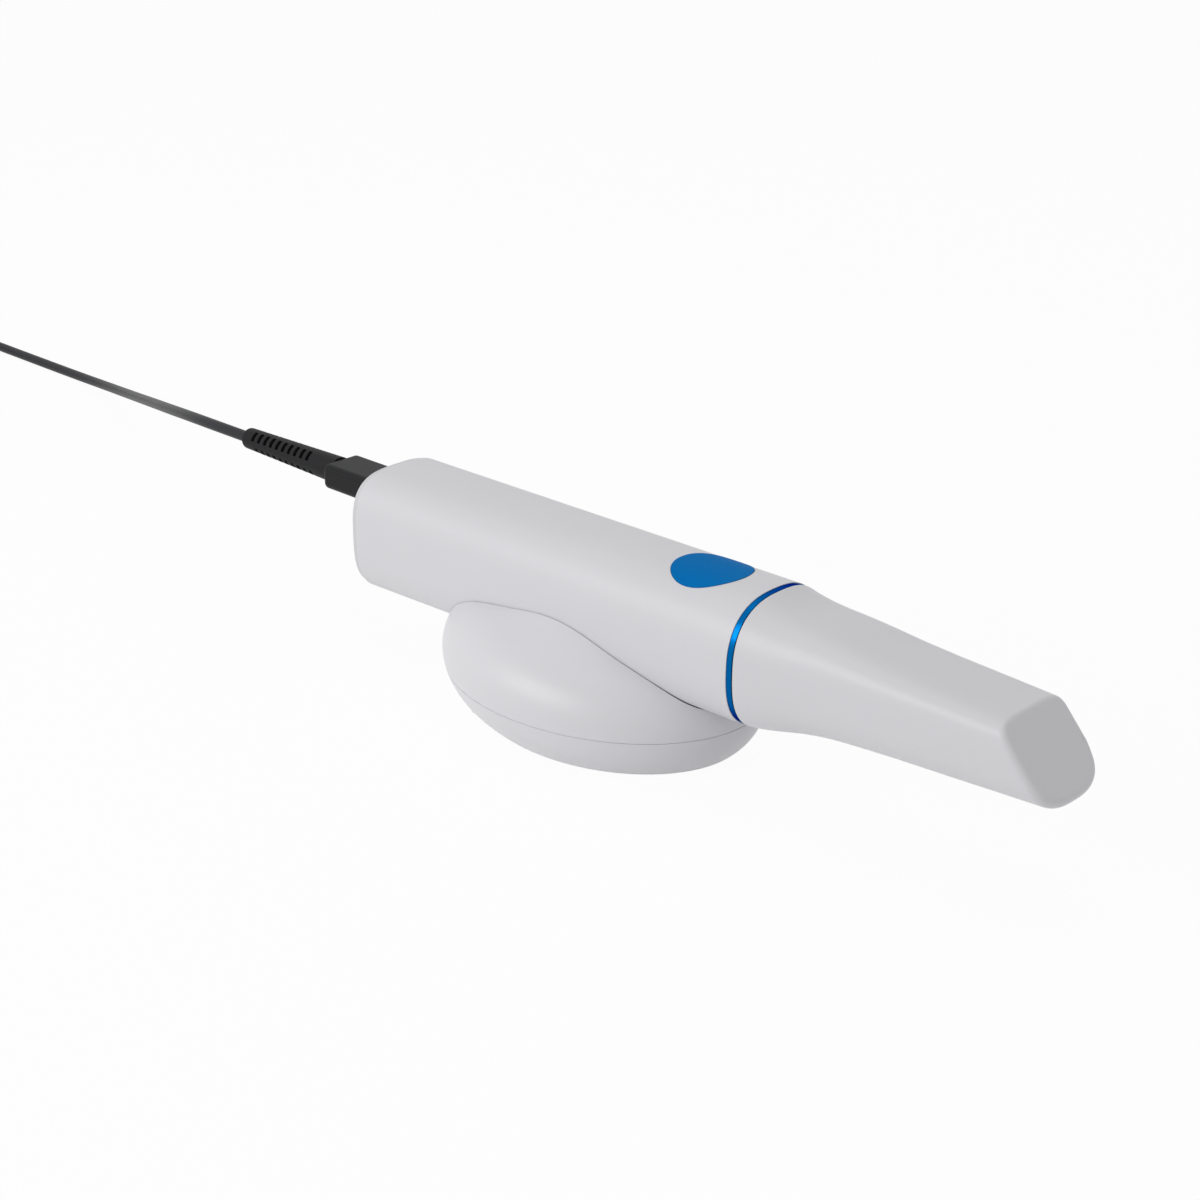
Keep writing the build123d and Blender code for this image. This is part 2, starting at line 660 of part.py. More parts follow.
with BuildPart() as data_socket:
    extrude(
        rounded_box_face(rear_x + SOCKET_FROM_REAR, SOCKET_WIDTH, SOCKET_HEIGHT, SOCKET_ROUND, port_z),
        amount=SOCKET_LENGTH,
    )
    extrude(
        rounded_box_face(
            rear_x + SOCKET_FROM_REAR,
            PLUG_WIDTH + 2 * PLUG_CLEARANCE,
            PLUG_HEIGHT + 2 * PLUG_CLEARANCE,
            PLUG_ROUND + PLUG_CLEARANCE,
            port_z,
        ),
        amount=CONNECTOR_ENTRY + PLUG_REACH - SOCKET_FROM_REAR + PLUG_CLEARANCE,
        mode=Mode.SUBTRACT,
    )
data_socket.part.label = "data_socket"
export_step(data_socket.part, "parts/data_socket.step")

# Small board and switch under the button
with BuildPart() as switch_board:
    with Locations((button_x, 0, module_top + BOARD_THICKNESS / 2)):
        Box(SWITCH_BOARD_LENGTH, SWITCH_BOARD_WIDTH, BOARD_THICKNESS)
    fillet(switch_board.edges().filter_by(Axis.Z), BOARD_THICKNESS)
switch_board.part.label = "switch_board"
export_step(switch_board.part, "parts/switch_board.step")

with BuildPart() as tact_switch:
    with Locations((button_x, 0, module_top + BOARD_THICKNESS + SWITCH_HEIGHT / 2)):
        Box(SWITCH_SIZE, SWITCH_SIZE, SWITCH_HEIGHT)
    fillet(tact_switch.edges().filter_by(Axis.Z), SWITCH_ROUND)
    with BuildSketch(Plane.XY.offset(switch_top - PLUNGER_PROUD)):
        with Locations((button_x, 0)):
            Circle(PLUNGER_RADIUS + PLUNGER_CLEARANCE)
    extrude(amount=-PLUNGER_DEPTH - BUTTON_TRAVEL - FIT, mode=Mode.SUBTRACT)
tact_switch.part.label = "tact_switch"
export_step(tact_switch.part, "parts/tact_switch.step")

with BuildPart() as switch_plunger:
    with BuildSketch(Plane.XY.offset(switch_top)):
        with Locations((button_x, 0)):
            Circle(PLUNGER_RADIUS)
    extrude(amount=-PLUNGER_PROUD - PLUNGER_DEPTH)
switch_plunger.part.label = "switch_plunger"
export_step(switch_plunger.part, "parts/switch_plunger.step")

# Cable connector: moulded block in the port, with its metal shell and the slotted boot behind it
connector_x = rear_x + CONNECTOR_ENTRY
boot_x = rear_x - CONNECTOR_LENGTH
exit_x = boot_x - BOOT_LENGTH
with BuildPart() as cable_connector:
    extrude(
        rounded_box_face(connector_x, CONNECTOR_WIDTH, CONNECTOR_HEIGHT, CONNECTOR_ROUND, port_z),
        amount=-CONNECTOR_ENTRY - CONNECTOR_LENGTH,
    )
    fillet(cable_connector.faces().sort_by(Axis.X)[0].edges(), CONNECTOR_REAR_ROUND)
cable_connector.part.label = "cable_connector"
export_step(cable_connector.part, "parts/cable_connector.step")

with BuildPart() as connector_plug:
    extrude(
        rounded_box_face(connector_x, PLUG_WIDTH, PLUG_HEIGHT, PLUG_ROUND, port_z),
        amount=PLUG_REACH,
    )
connector_plug.part.label = "connector_plug"
export_step(connector_plug.part, "parts/connector_plug.step")

with BuildPart() as strain_relief:
    with BuildSketch(Plane((boot_x, 0, port_z), x_dir=(0, 1, 0), z_dir=(1, 0, 0))):
        Circle(BOOT_FRONT_RADIUS)
    with BuildSketch(Plane((exit_x, 0, port_z), x_dir=(0, 1, 0), z_dir=(1, 0, 0))):
        Circle(BOOT_REAR_RADIUS)
    loft()
    fillet(strain_relief.faces().sort_by(Axis.X)[0].edges(), BOOT_ROUND)
    for turn, shift in BOOT_SLOT_TURNS:
        for i in range(BOOT_SLOTS):
            along = BOOT_SLOT_START + (i + shift) * BOOT_SLOT_PITCH
            radius = BOOT_REAR_RADIUS + along / BOOT_LENGTH * (BOOT_FRONT_RADIUS - BOOT_REAR_RADIUS)
            slot = Location((exit_x + along, 0, port_z), (turn, 0, 0))
            with Locations(slot * Location((0, radius - BOOT_SLOT_DEPTH, 0))):
                Box(
                    BOOT_SLOT_WIDTH,
                    2 * BOOT_SLOT_DEPTH,
                    BOOT_SLOT_SPAN,
                    align=(Align.CENTER, Align.MIN, Align.CENTER),
                    mode=Mode.SUBTRACT,
                )
strain_relief.part.label = "strain_relief"
export_step(strain_relief.part, "parts/strain_relief.step")

# Cord: straight out of the boot, down to the surface and along it to the coil
cord_z = CORD_DIAMETER / 2
coil_bottom = TIE_THICKNESS + TIE_CLEARANCE
coil_outer = COIL_MEAN_RADIUS + COIL_COLUMNS * CORD_DIAMETER / 2
coil_inner = COIL_MEAN_RADIUS - COIL_COLUMNS * CORD_DIAMETER / 2
coil_height = COIL_LAYERS * CORD_DIAMETER
coil_turn = coil_outer - CORD_DIAMETER / 2
first_layer_z = coil_bottom + cord_z
last_layer_z = coil_bottom + coil_height - cord_z
plug_rest_z = FAR_PLUG_HEIGHT / 2
cord_route = [
    (exit_x, 0.0, port_z),
    (-241.0, 0.0, port_z),
    (-262.0, 4.0, 50.0),
    (-292.0, 16.2, 43.0),
    (-331.0, 35.7, 32.0),
    (-372.4, 56.8, 20.0),
    (-410.7, 74.5, 10.0),
    (-441.5, 85.1, 4.0),
    (-468.0, 88.4, cord_z),
    (-505.0, 88.9, cord_z),
    (-541.0, 88.2, cord_z + 0.2),
    (COIL_X, COIL_Y + coil_turn, first_layer_z),
]
tail_route = [
    (COIL_X - coil_turn, COIL_Y, last_layer_z),
    (COIL_X - coil_turn, COIL_Y - 22.0, last_layer_z - 0.6),
    (COIL_X - coil_turn + 7.0, COIL_Y - 46.0, plug_rest_z + 1.0),
    (COIL_X - coil_turn + 23.0, COIL_Y - 63.0, plug_rest_z),
    (COIL_X - coil_turn + 45.0, COIL_Y - 70.0, plug_rest_z),
    (COIL_X - coil_turn + 66.0, COIL_Y - 70.0, plug_rest_z),
]


def bend_radii(points):
    """Largest arc that each corner's two runs leave room for."""
    radii = []
    for a, b, c in zip(points, points[1:], points[2:]):
        run_in = Vector(*b) - Vector(*a)
        run_out = Vector(*c) - Vector(*b)
        half_turn = radians(run_in.get_angle(run_out)) / 2
        radii.append(BEND_SHARE * min(run_in.length, run_out.length) / tan(half_turn))
    return radii


def cord_tube(points):
    """Round cord along straight runs joined by tangent arcs."""
    radii = bend_radii(points)
    print("bend radii", [round(radius, 1) for radius in radii])
    with BuildPart() as tube:
        with BuildLine() as path:
            FilletPolyline(*points, radius=radii)
        with BuildSketch(Plane(path.line @ 0, z_dir=path.line % 0)):
            Circle(CORD_DIAMETER / 2)
        sweep()
    length = sum(edge.length for edge in path.edges())
    print("cord length", round(length, 1), "volume ratio",
          round(tube.part.volume / (length * pi * CORD_DIAMETER**2 / 4), 4))
    return tube


cable = cord_tube(cord_route)
cable.part.label = "cable"
export_step(cable.part, "parts/cable.step")
cable_tail = cord_tube(tail_route)
cable_tail.part.label = "cable_tail"
export_step(cable_tail.part, "parts/cable_tail.step")

with BuildPart() as cable_coil:
    with BuildSketch(Plane.XY.offset(coil_bottom)):
        with Locations((COIL_X, COIL_Y)):
            Circle(coil_outer)
            Circle(coil_inner, mode=Mode.SUBTRACT)
    extrude(amount=coil_height)
    fillet(cable_coil.edges().filter_by(GeomType.CIRCLE), CORD_DIAMETER / 2)
cable_coil.part.label = "cable_coil"
export_step(cable_coil.part, "parts/cable_coil.step")

# Strap round one side of the coil
strap_gap_width = COIL_COLUMNS * CORD_DIAMETER + 2 * TIE_CLEARANCE
strap_gap_height = coil_height + 2 * TIE_CLEARANCE
strap_center = (COIL_X, COIL_Y - COIL_MEAN_RADIUS, coil_bottom + coil_height / 2)
with BuildPart() as coil_tie:
    with BuildSketch(Plane(strap_center, x_dir=(0, 1, 0), z_dir=(1, 0, 0))):
        RectangleRounded(
            strap_gap_width + 2 * TIE_THICKNESS,
            strap_gap_height + 2 * TIE_THICKNESS,
            cord_z + TIE_THICKNESS,
        )
        RectangleRounded(strap_gap_width, strap_gap_height, cord_z, mode=Mode.SUBTRACT)
    extrude(amount=TIE_WIDTH / 2, both=True)
coil_tie.part.label = "coil_tie"
export_step(coil_tie.part, "parts/coil_tie.step")

# Plug at the far end: moulded body, metal shell and the tongue inside it
far_plug_x, far_plug_y, far_plug_z = tail_route[-1]
far_shell_x = far_plug_x + FAR_PLUG_LENGTH
with BuildPart() as far_plug_body:
    extrude(
        rounded_box_face(far_plug_x, FAR_PLUG_WIDTH, FAR_PLUG_HEIGHT, FAR_PLUG_ROUND, far_plug_z, far_plug_y),
        amount=FAR_PLUG_LENGTH,
    )
    fillet(far_plug_body.faces().sort_by(Axis.X)[0].edges(), FAR_PLUG_ROUND / 2)
far_plug_body.part.label = "far_plug_body"
export_step(far_plug_body.part, "parts/far_plug_body.step")

shell_gap_width = FAR_SHELL_WIDTH - 2 * FAR_SHELL_WALL
shell_gap_height = FAR_SHELL_HEIGHT - 2 * FAR_SHELL_WALL
with BuildPart() as far_plug_shell:
    with BuildSketch(Plane((far_shell_x, far_plug_y, far_plug_z), x_dir=(0, 1, 0), z_dir=(1, 0, 0))):
        RectangleRounded(FAR_SHELL_WIDTH, FAR_SHELL_HEIGHT, 2 * FAR_SHELL_WALL)
        RectangleRounded(shell_gap_width, shell_gap_height, FAR_SHELL_WALL, mode=Mode.SUBTRACT)
    extrude(amount=FAR_SHELL_LENGTH)
far_plug_shell.part.label = "far_plug_shell"
export_step(far_plug_shell.part, "parts/far_plug_shell.step")

with BuildPart() as far_plug_tongue:
    with Locations((far_shell_x, far_plug_y, far_plug_z + shell_gap_height / 2 - FIT)):
        Box(
            FAR_SHELL_LENGTH - FAR_SHELL_WALL,
            shell_gap_width - 2 * FAR_SHELL_WALL,
            FAR_TONGUE_THICKNESS,
            align=(Align.MIN, Align.CENTER, Align.MAX),
        )
far_plug_tongue.part.label = "far_plug_tongue"
export_step(far_plug_tongue.part, "parts/far_plug_tongue.step")

# Cradle: one egg-shaped form, parted at the seam, hollow, with the handle's form pressed into its top
cradle_z = AXIS_HEIGHT - CRADLE_WAIST_BELOW_AXIS
tilt = radians(CRADLE_TILT)
egg_plane = Plane((CRADLE_X, 0, cradle_z), x_dir=(cos(tilt), 0, -sin(tilt)), z_dir=(sin(tilt), 0, cos(tilt)))


def swell(level):
    """Share of the full width at a level, from -1 at the bottom through 0 at the waist to 1 at the top."""
    return (1 - abs(level) ** CRADLE_POWER) ** (1 / CRADLE_POWER)


def egg_form(inset):
    """The cradle's whole outer form, set in by inset."""
    with BuildPart() as form:
        for level in CRADLE_LEVELS:
            reach = (CRADLE_UPPER if level > 0 else CRADLE_LOWER) - inset
            with BuildSketch(egg_plane.offset(level * reach)):
                Ellipse((CRADLE_LENGTH / 2 - inset) * swell(level), (CRADLE_WIDTH / 2 - inset) * swell(level))
        loft()
    return form.part


def boss_faces(z, radius):
    """Four discs at the cradle's screws."""
    with BuildSketch(Plane.XY.offset(z)) as faces:
        with Locations((CRADLE_X, 0)):
            with GridLocations(BOSS_SPACING_X, BOSS_SPACING_Y, 2, 2):
                Circle(radius)
    return faces.sketch


floor_z = PAD_PROUD + BASE_FLOOR
screw_tip_z = floor_z + SCREW_LENGTH
with BuildPart() as shell_hollow:
    add(egg_form(CRADLE_WALL))
    split(bisect_by=Plane.XY.offset(SEAM_HEIGHT), keep=Keep.TOP)
    add(handle_form(-TROUGH_CLEARANCE - CRADLE_WALL), mode=Mode.SUBTRACT)
with BuildPart() as shell_bosses:
    extrude(boss_faces(SEAM_HEIGHT, BOSS_RADIUS), amount=AXIS_HEIGHT)
    add(egg_form(CRADLE_WALL / 2), mode=Mode.INTERSECT)
with BuildPart() as cradle_shell:
    add(egg_form(0.0))
    split(bisect_by=Plane.XY.offset(SEAM_HEIGHT), keep=Keep.TOP)
    add(shell_hollow.part, mode=Mode.SUBTRACT)
    add(shell_bosses.part)
    extrude(
        boss_faces(SEAM_HEIGHT, SCREW_RADIUS + FIT),
        amount=screw_tip_z + FIT - SEAM_HEIGHT,
        mode=Mode.SUBTRACT,
    )
    add(handle_form(-TROUGH_CLEARANCE), mode=Mode.SUBTRACT)
cradle_shell.part.label = "cradle_shell"
export_step(cradle_shell.part, "parts/cradle_shell.step")

with BuildPart() as base_hollow:
    add(egg_form(CRADLE_WALL))
    split(bisect_by=Plane.XY.offset(SEAM_HEIGHT), keep=Keep.BOTTOM)
    split(bisect_by=Plane.XY.offset(floor_z), keep=Keep.TOP)
with BuildPart() as seam_lip:
    add(egg_form(SEAM_GROOVE))
    split(bisect_by=Plane.XY.offset(SEAM_HEIGHT), keep=Keep.BOTTOM)
    split(bisect_by=Plane.XY.offset(SEAM_HEIGHT - SEAM_GROOVE), keep=Keep.TOP)
pad_swell = swell((cradle_z - PAD_PROUD) / CRADLE_LOWER)
pad_length = CRADLE_LENGTH / 2 * pad_swell - PAD_MARGIN
pad_breadth = CRADLE_WIDTH / 2 * pad_swell - PAD_MARGIN
with BuildPart() as cradle_pad:
    with BuildSketch():
        with Locations((CRADLE_X, 0)):
            Ellipse(pad_length, pad_breadth)
            Ellipse(pad_length - PAD_WIDTH, pad_breadth - PAD_WIDTH, mode=Mode.SUBTRACT)
    extrude(amount=PAD_THICKNESS)
cradle_pad.part.label = "cradle_pad"
export_step(cradle_pad.part, "parts/cradle_pad.step")

with BuildPart() as cradle_base:
    add(egg_form(0.0))
    split(bisect_by=Plane.XY.offset(SEAM_HEIGHT - SEAM_GROOVE), keep=Keep.BOTTOM)
    split(bisect_by=Plane.XY.offset(PAD_PROUD), keep=Keep.TOP)
    add(seam_lip.part)
    add(base_hollow.part, mode=Mode.SUBTRACT)
    extrude(boss_faces(PAD_PROUD, BOSS_RADIUS), amount=SEAM_HEIGHT - PAD_PROUD)
    extrude(boss_faces(PAD_PROUD, SCREW_HEAD_RADIUS + FIT), amount=BASE_FLOOR, mode=Mode.SUBTRACT)
    extrude(boss_faces(floor_z, SCREW_RADIUS + FIT), amount=SEAM_HEIGHT - floor_z, mode=Mode.SUBTRACT)
    with BuildSketch(Plane.XY.offset(PAD_PROUD)):
        with Locations((CRADLE_X, 0)):
            Ellipse(pad_length + FIT, pad_breadth + FIT)
            Ellipse(pad_length - PAD_WIDTH - FIT, pad_breadth - PAD_WIDTH - FIT, mode=Mode.SUBTRACT)
    extrude(amount=PAD_THICKNESS - PAD_PROUD, mode=Mode.SUBTRACT)
cradle_base.part.label = "cradle_base"
export_step(cradle_base.part, "parts/cradle_base.step")

with BuildPart() as cradle_screws:
    extrude(boss_faces(floor_z, SCREW_HEAD_RADIUS), amount=-SCREW_HEAD)
    extrude(boss_faces(floor_z, SCREW_RADIUS), amount=SCREW_LENGTH)
cradle_screws.part.label = "cradle_screws"
export_step(cradle_screws.part, "parts/cradle_screws.step")

with BuildPart() as cradle_weight:
    with BuildSketch(Plane.XY.offset(floor_z)):
        with Locations((CRADLE_X, 0)):
            RectangleRounded(WEIGHT_LENGTH, WEIGHT_WIDTH, WEIGHT_ROUND)
    extrude(amount=WEIGHT_THICKNESS)
    chamfer(cradle_weight.faces().sort_by(Axis.Z)[-1].edges(), WEIGHT_EDGE)
cradle_weight.part.label = "cradle_weight"
export_step(cradle_weight.part, "parts/cradle_weight.step")
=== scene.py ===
# %% [markdown]
# # A dental scanner resting in its cradle
# This lesson dresses a finished CAD model: a hand-held scanner with a pale satin body, a blue button and
# ring, a pull-off tip, a slotted cable boot, and a pebble-shaped cradle. The shapes come from CAD and stay
# where they are. What we add in Blender is a faired copy of the tip, the cord, the finishes, the light
# and the camera.

# %% Load the model and keep its box
from math import copysign, cos, pi, sin

import bmesh
import bpy
from mathutils import Matrix, Vector
from mathutils.bvhtree import BVHTree


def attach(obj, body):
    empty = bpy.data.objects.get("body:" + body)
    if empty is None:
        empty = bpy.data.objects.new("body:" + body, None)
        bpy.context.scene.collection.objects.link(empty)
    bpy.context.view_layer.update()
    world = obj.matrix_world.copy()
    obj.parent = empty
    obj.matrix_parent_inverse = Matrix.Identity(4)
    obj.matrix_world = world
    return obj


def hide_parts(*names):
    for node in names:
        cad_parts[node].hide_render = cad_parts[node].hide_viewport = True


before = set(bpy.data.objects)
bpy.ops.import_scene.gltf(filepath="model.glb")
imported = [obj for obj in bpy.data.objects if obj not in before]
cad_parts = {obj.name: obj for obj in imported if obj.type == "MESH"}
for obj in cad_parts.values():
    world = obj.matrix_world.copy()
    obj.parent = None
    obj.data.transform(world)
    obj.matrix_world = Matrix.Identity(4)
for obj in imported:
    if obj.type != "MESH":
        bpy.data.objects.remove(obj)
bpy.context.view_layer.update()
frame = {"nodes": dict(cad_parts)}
nodes = frame["nodes"]
scene = bpy.context.scene

# %% [markdown]
# ## The camera
# A product picture is a long-lens picture. The lens and the place were worked out from the direction of
# the handle's straight edges and from how fast its far end shrinks. We could aim the camera with a Track To
# constraint, but three measured directions, right, up and back, say the same thing without any rounding,
# so they go straight into the camera's matrix as its columns.

# %% Camera at the photograph's angle
CAMERA_PLACE = Vector((0.43925, -0.5032, 0.3373))
CAMERA_RIGHT = Vector((0.7232, 0.6906, 0.0))
CAMERA_BACK = Vector((0.6350, -0.6650, 0.3931))
LENS_MM = 70.03
SENSOR_MM = 36.0
CLIP_NEAR = 0.02
CLIP_FAR = 50.0

camera_data = bpy.data.cameras.new("product_lens")
camera_data.sensor_width = SENSOR_MM
camera_data.lens = LENS_MM
camera_data.clip_start = CLIP_NEAR
camera_data.clip_end = CLIP_FAR
camera = bpy.data.objects.new("product_camera", camera_data)
scene.collection.objects.link(camera)
back = CAMERA_BACK.normalized()
right = (CAMERA_RIGHT - back * CAMERA_RIGHT.dot(back)).normalized()
turn = Matrix((right, back.cross(right), back)).transposed()
camera.matrix_world = Matrix.Translation(CAMERA_PLACE) @ turn.to_4x4()
scene.camera = camera
print("camera looks along", [round(v, 3) for v in -back])

# %% [markdown]
# ## Fairing the tip's sides
# The tip is one moulding with sides that run straight down its slanted end. The CAD surface is drawn
# through a few points, and near the end it dips by about half a millimetre half-way down each side.
# Smoothing would also soften the corners, so we do what a mould maker does with a straight-edge: wrap the
# end in a convex hull and bring what lies just inside it out to it. A copy of the mesh takes the change,
# fading in along x, and stands in for the CAD tip in the cells that follow.

# %% Faired copy of the tip
FAIR_START = 0.085
FAIR_FULL = 0.105
FAIR_LOW = 0.041
FAIR_DEPTH = 0.0008
NUDGE = 1.0e-5
tip_mesh = nodes["tip_shell"].data.copy()
tip_end = [vertex for vertex in tip_mesh.vertices if vertex.co.x > FAIR_START]
hull = bmesh.new()
for vertex in tip_end:
    hull.verts.new(vertex.co)
bmesh.ops.convex_hull(hull, input=hull.verts)
hull_tree = BVHTree.FromBMesh(hull)
hull.free()
moves = []
for vertex in tip_end:
    if vertex.co.z > FAIR_LOW:
        outward = Vector((0.0, copysign(1.0, vertex.co.y), 0.0))
        inside = vertex.co - NUDGE * outward
        distance = hull_tree.ray_cast(inside, outward, FAIR_DEPTH)[3]
        if distance is not None and distance > NUDGE:
            share = min(1.0, (vertex.co.x - FAIR_START) / (FAIR_FULL - FAIR_START))
            moves.append((vertex, share * (distance - NUDGE) * outward))
for vertex, move in moves:
    vertex.co += move
tip = bpy.data.objects.new("faired_tip", tip_mesh)
scene.collection.objects.link(tip)
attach(tip, "tip")
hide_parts("tip_shell")
nodes["tip_shell"] = tip
print("faired", len(moves), "points by up to", round(1000 * max(move.length for _, move in moves), 2), "mm")

# %% [markdown]
# ## The cord
# A data cord is a fixed length of jacketed wire. It leaves the boot straight, sinks to the table under its
# own weight, runs along it, and the rest is put away in a small tied coil with its plug beside it. A chain
# of Bezier handles would do, but a NURBS curve needs only the points that steer it and stays smooth between
# them. Its order is set after the points, because a new spline has too few points to accept it. The
# thickness is written at the points, as their radius over a bevel of one, so the curve's box is the cord's.

# %% Route points, coil turns and the curve
CORD_RADIUS = 0.0021
BOOT_END = (-0.22135, 0.0, 0.0522)
COIL_CENTER = (-0.575, 0.0565)
COIL_OUTER = 0.0321
COIL_INNER = 0.0153
COIL_LOW = 0.0033
COIL_HIGH = 0.0075
COIL_CROSSING = 0.0143
POINTS_PER_TURN = 24
route_out = [
    BOOT_END,
    (-0.2410, 0.0, 0.0522),
    (-0.2620, 0.0040, 0.0500),
    (-0.2920, 0.0162, 0.0430),
    (-0.3310, 0.0357, 0.0320),
    (-0.3724, 0.0568, 0.0200),
    (-0.4107, 0.0745, 0.0100),
    (-0.4415, 0.0851, 0.0040),
    (-0.4680, 0.0884, 0.0021),
    (-0.5050, 0.0889, 0.0021),
    (-0.5410, 0.0889, 0.0024),
]
tail = [
    (-0.6074, 0.0345, 0.0069),
    (-0.6004, 0.0105, 0.0048),
    (-0.5844, -0.0065, 0.0038),
    (-0.5624, -0.0135, 0.0038),
    (-0.5414, -0.0135, 0.0038),
]
# turns wound so far, radius and height: in along the low layer, up at the middle, out along the high one
winding = [
    (0.0, COIL_OUTER, COIL_LOW),
    (4.0, COIL_INNER, COIL_LOW),
    (4.6, COIL_CROSSING, (COIL_LOW + COIL_HIGH) / 2),
    (5.25, COIL_INNER, COIL_HIGH),
    (9.25, COIL_OUTER, COIL_HIGH),
]
# a curve steered by the corners of a ring of points runs a little inside them
corner_reach = 1 / (0.75 + 0.25 * cos(2 * pi / POINTS_PER_TURN))
coil = []
for step in range(int(winding[-1][0] * POINTS_PER_TURN) + 1):
    turns = step / POINTS_PER_TURN
    before, after = [pair for pair in zip(winding, winding[1:]) if pair[0][0] <= turns <= pair[1][0]][0]
    share = (turns - before[0]) / (after[0] - before[0])
    radius = (before[1] + share * (after[1] - before[1])) * corner_reach
    height = before[2] + share * (after[2] - before[2])
    angle = pi / 2 + 2 * pi * turns
    coil.append((COIL_CENTER[0] + radius * cos(angle), COIL_CENTER[1] + radius * sin(angle), height))

cord_curve = bpy.data.curves.new("data_cord", "CURVE")
cord_curve.dimensions = "3D"
cord_curve.bevel_depth = 1.0
cord_curve.bevel_resolution = 5
cord_curve.resolution_u = 6
cord_curve.use_fill_caps = True
cord_points = route_out + coil + tail
spline = cord_curve.splines.new("NURBS")
spline.points.add(len(cord_points) - 1)
for point, place in zip(spline.points, cord_points):
    point.co = (*place, 1.0)
    point.radius = CORD_RADIUS
spline.use_endpoint_u = True
spline.order_u = 3
cord = bpy.data.objects.new("data_cord", cord_curve)
scene.collection.objects.link(cord)
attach(cord, "scanner")
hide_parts("cable", "cable_coil", "cable_tail")
print("cord of", len(cord_points), "points, length", round(spline.calc_length(), 3), "m")

# %% [markdown]
# ## Shader maths as plain sums
# A procedural finish is a small sum: a base value plus a little noise. Wiring Math nodes by hand hides that
# sum, so one class wraps a socket and lets Python's own +, - and * add the nodes. Every other node comes
# from its one method, which takes the node's type, its settings and what goes into its sockets.


# %% The socket class
class Wire:
    """An output socket that can be used in sums."""

    def __init__(self, socket):
        self.socket = socket
        self.tree = socket.id_data

    @classmethod
    def node(cls, tree, kind, settings=None, sockets=None, output=0):
        made = tree.nodes.new("ShaderNode" + kind)
        for name, value in (settings or {}).items():
            if name == "stops":
                ramp = made.color_ramp
                while len(ramp.elements) < len(value):
                    ramp.elements.new(1.0)
                for element, (place, color) in zip(ramp.elements, value):
                    element.position = place
                    element.color = color
            else:
                setattr(made, name, value)
        for name, value in (sockets or {}).items():
            if isinstance(value, Wire):
                tree.links.new(value.socket, made.inputs[name])
            else:
                made.inputs[name].default_value = value
        return cls(made.outputs[output])

    def math(self, operation, first, second):
        return Wire.node(self.tree, "Math", {"operation": operation}, {0: first, 1: second})

    def __add__(self, other):
        return self.math("ADD", self, other)

    def __radd__(self, other):
        return self.math("ADD", other, self)

    def __sub__(self, other):
        return self.math("SUBTRACT", self, other)

    def __rsub__(self, other):
        return self.math("SUBTRACT", other, self)

    def __mul__(self, other):
        return self.math("MULTIPLY", self, other)

    def __rmul__(self, other):
        return self.math("MULTIPLY", other, self)


print("a wire can add, subtract and multiply")

# %% [markdown]
# ## A start for every finish
# All finishes share a beginning: a Principled shader, a place on the surface in metres, and a way to turn a
# height into fine relief. Object coordinates ride with each piece, so a grain stays put when the tip slides
# off. What is the same all over the surface goes straight onto the shader's sockets.


# %% Helpers for finishes
class Finish:
    """A material under way: its tree, its shader and the surface's own coordinates."""

    def __init__(self, name, **constants):
        self.material = bpy.data.materials.new(name)
        self.material.use_nodes = True
        self.tree = self.material.node_tree
        self.shader = self.tree.nodes["Principled BSDF"]
        for socket, value in constants.items():
            self.shader.inputs[socket.replace("_", " ")].default_value = value
        self.place = Wire.node(self.tree, "TexCoord", output="Object")

    def noise(self, scale, detail=2.0, stretch=(1.0, 1.0, 1.0)):
        """Noise from 0 to 1; scale is in grains a metre."""
        stretched = Wire.node(self.tree, "Mapping", {"vector_type": "POINT"},
                              {"Vector": self.place, "Scale": stretch})
        return Wire.node(self.tree, "TexNoise", {"noise_dimensions": "3D"},
                         {"Vector": stretched, "Scale": scale, "Detail": detail})

    def blend(self, factor, first, second):
        """Colour that goes from first to second with factor."""
        return Wire.node(self.tree, "Mix", {"data_type": "RGBA"},
                         {0: factor, 6: first, 7: second}, output=2)

    def feed(self, socket, wire):
        self.tree.links.new(wire.socket, self.shader.inputs[socket])

    def relief(self, height, depth, strength=1.0):
        """Fine relief of a depth in metres."""
        bump = Wire.node(self.tree, "Bump", {"invert": False},
                         {"Height": height, "Distance": depth, "Strength": strength})
        self.feed("Normal", bump)


def dress(material, *names):
    """Gives the named CAD pieces this material."""
    for name in names:
        slots = nodes[name].data.materials
        slots.clear()
        slots.append(material)
    print(material.name, "on", ", ".join(names))


def shade(value, tint=(1.0, 1.0, 1.0)):
    """A grey of that value, tinted."""
    return (value * tint[0], value * tint[1], value * tint[2], 1.0)


COOL = (1.0, 0.992, 1.028)

# %% [markdown]
# ## Satin white mouldings
# The handle, cap, tip and cradle are injection-moulded in a pale, slightly cool white. The mould is spark
# eroded, which leaves a grain of about a third of a millimetre that turns gloss into satin. Three noises
# make it: a broad one for the faint cloudiness of the pigment, a middle one for gloss that is not quite even,
# and a fine one for the grain. An image texture would repeat and would need a UV map; noise needs neither.


# %% Satin white
def satin_white(name, value, roughness, grain_depth):
    finish = Finish(name, IOR=1.49, Coat_Weight=0.0, Specular_IOR_Level=0.45)
    cloud = finish.noise(scale=26.0, detail=3.0)
    finish.feed("Base Color", finish.blend(cloud, shade(value * 0.985, COOL), shade(value * 1.012, COOL)))
    patch = finish.noise(scale=140.0, detail=2.0)
    grain = finish.noise(scale=2600.0, detail=2.0)
    finish.feed("Roughness", roughness - 0.05 + 0.07 * patch + 0.03 * grain)
    finish.relief(grain, depth=grain_depth, strength=0.35)
    return finish.material


